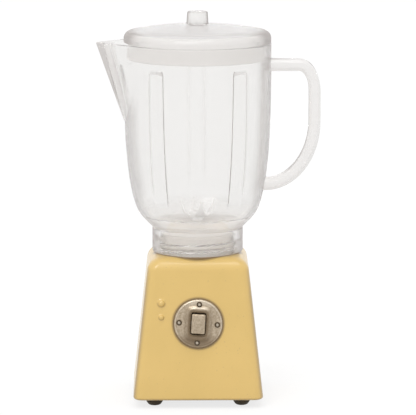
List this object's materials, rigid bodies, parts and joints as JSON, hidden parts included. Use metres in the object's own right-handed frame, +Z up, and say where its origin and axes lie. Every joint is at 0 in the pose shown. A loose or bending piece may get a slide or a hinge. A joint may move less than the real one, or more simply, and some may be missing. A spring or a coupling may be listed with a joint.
{
  "type": "toy blender",
  "caption": "Toy blender: a clear spouted jar with handle and lid, screwed by a clear collar onto a tapered painted base with a rocker switch.",
  "frame": {"origin": "on the surface the feet stand on, under the middle of the whole width from the spout's tip to the handle", "axes": "+Z up the jar's axis, +X towards the handle, the switch on the -Y side"},
  "size_m": [0.0462, 0.0301, 0.08],
  "materials": {
    "base_paint": "semi-gloss pale yellow enamel",
    "dark_plastic": "matte",
    "foot_rubber": "matte dark brown",
    "antique_silver": "cast, antiqued and slightly speckled",
    "screw_steel": "plated",
    "clear_plastic": "clear, glossy, slightly frosted where moulded"
  },
  "bodies": {
    "base": {"base_housing": "base_paint", "bottom_plate": "dark_plastic", "bottom_screw_left": "screw_steel", "bottom_screw_right": "screw_steel", "foot_front_left": "foot_rubber", "foot_front_right": "foot_rubber", "foot_rear_left": "foot_rubber", "foot_rear_right": "foot_rubber", "switch_plate": "antique_silver", "plate_rivet_top": "antique_silver", "plate_rivet_left": "antique_silver", "plate_rivet_right": "antique_silver", "plate_rivet_bottom": "antique_silver", "rocker_pin": "screw_steel", "threaded_spigot": "clear_plastic", "spigot_washer": "screw_steel", "spigot_screw": "screw_steel"},
    "rocker": {"rocker": "antique_silver"},
    "spindle": {"blade_pin": "clear_plastic"},
    "jar": {"jar": "clear_plastic", "jar_collar": "clear_plastic", "handle": "clear_plastic"},
    "blade": {"blade_rotor": "clear_plastic"},
    "lid": {"lid": "clear_plastic", "lid_knob": "clear_plastic"}
  },
  "joints": [
    {"name": "rocker_rock", "type": "hinge", "parent": "base", "child": "rocker", "pos_m": [-0.00207, -0.01096, 0.01733], "axis": [0.9981, -0.0067, -0.0607], "range_deg": [-8, 8]},
    {"name": "jar_rise", "type": "slide", "parent": "base", "child": "spindle", "axis": [0, 0, 1], "range_m": [0, 0.0046]},
    {"name": "jar_turn", "type": "hinge", "parent": "spindle", "child": "jar", "pos_m": [-0.00207, 0, 0.0356], "axis": [0, 0, 1], "range_deg": [0, 1080]},
    {"name": "blade_spin", "type": "hinge", "parent": "jar", "child": "blade", "pos_m": [-0.00207, 0, 0.037], "axis": [0, 0, 1], "continuous": true},
    {"name": "lid_lift", "type": "slide", "parent": "jar", "child": "lid", "axis": [0, 0, 1], "range_m": [0, 0.02]}
  ],
  "couplings": [
    {"joint": "jar_rise", "follows": "jar_turn", "m_per_rad": 0.00023873}
  ]
}
